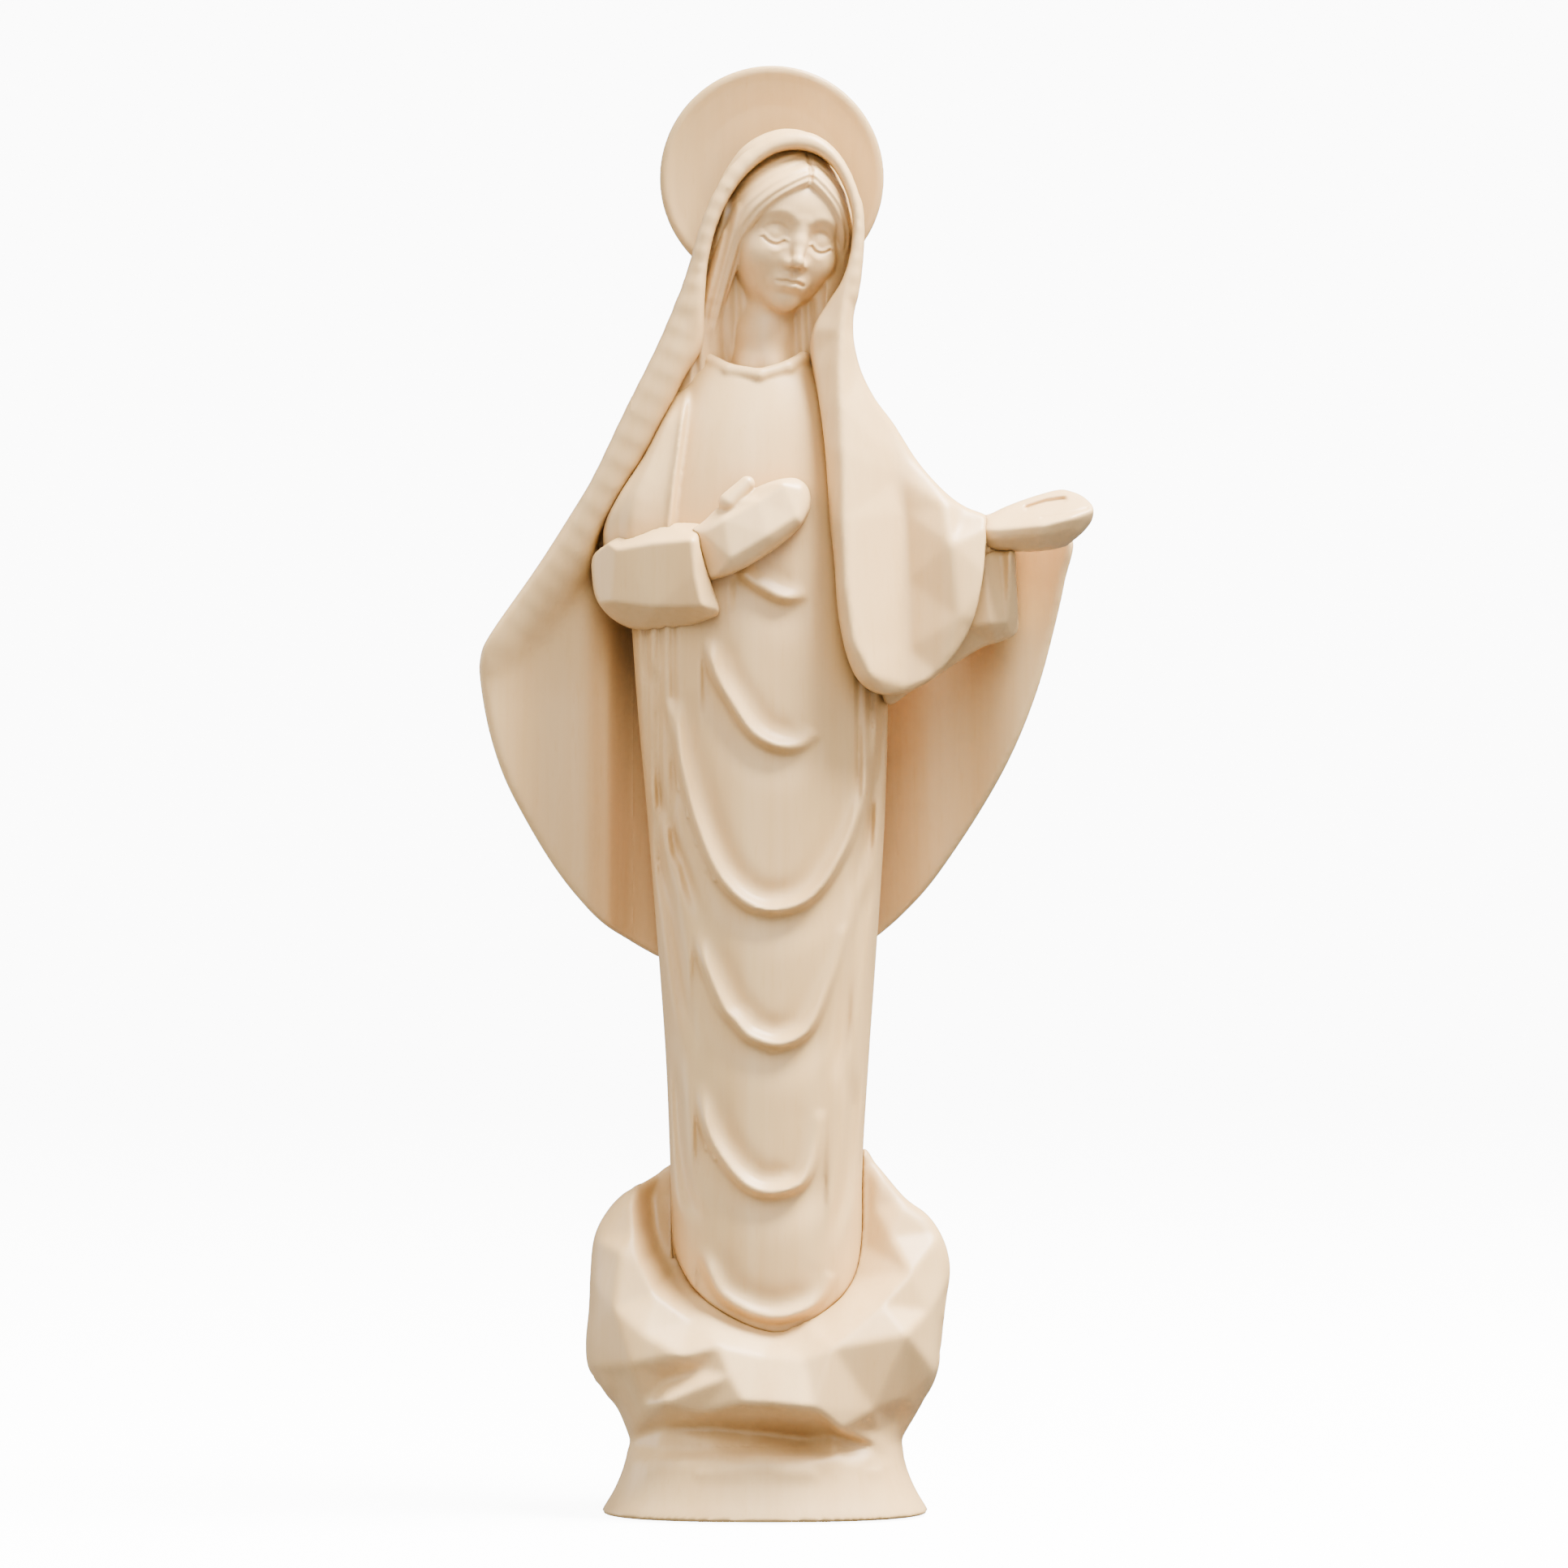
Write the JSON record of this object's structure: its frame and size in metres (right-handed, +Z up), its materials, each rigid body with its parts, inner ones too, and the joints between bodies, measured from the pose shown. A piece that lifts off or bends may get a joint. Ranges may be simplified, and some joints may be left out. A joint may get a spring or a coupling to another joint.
{
  "type": "madonna statue",
  "caption": "Standing carved wooden Madonna with veil, halo, one hand on the chest and one held out, on a cloud and a flared plinth, for a shelf or altar.",
  "frame": {"origin": "middle of the plinth's flat underside", "axes": "+Z up; -Y the way the figure faces; +X the figure's left, the side of the open hand"},
  "size_m": [0.1264, 0.0573, 0.2999],
  "materials": {
    "maple_plinth": "satin waxed maple, plinth",
    "maple_cloud": "satin waxed maple, faceted gouge cuts",
    "maple_tunic": "satin waxed maple, upright grain",
    "maple_veil": "satin waxed maple, upright grain",
    "maple_skin": "fine-sanded waxed maple",
    "maple_halo": "turned and waxed maple, a little darker",
    "beech_dowel": "plain beech dowel"
  },
  "bodies": {
    "root": {"plinth": "maple_plinth", "cloud_base": "maple_cloud", "tunic": "maple_tunic", "head": "maple_skin", "mantle_core": "maple_veil", "mantle_board_right": "maple_veil", "mantle_board_left": "maple_veil", "forearm_drape": "maple_veil", "right_sleeve": "maple_tunic", "right_hand": "maple_skin", "left_sleeve": "maple_tunic", "left_hand": "maple_skin", "halo": "maple_halo", "halo_dowel": "beech_dowel", "sleeve_dowel": "beech_dowel", "figure_dowel_left": "beech_dowel", "figure_dowel_right": "beech_dowel", "plinth_dowel_left": "beech_dowel", "plinth_dowel_right": "beech_dowel"}
  },
  "joints": []
}
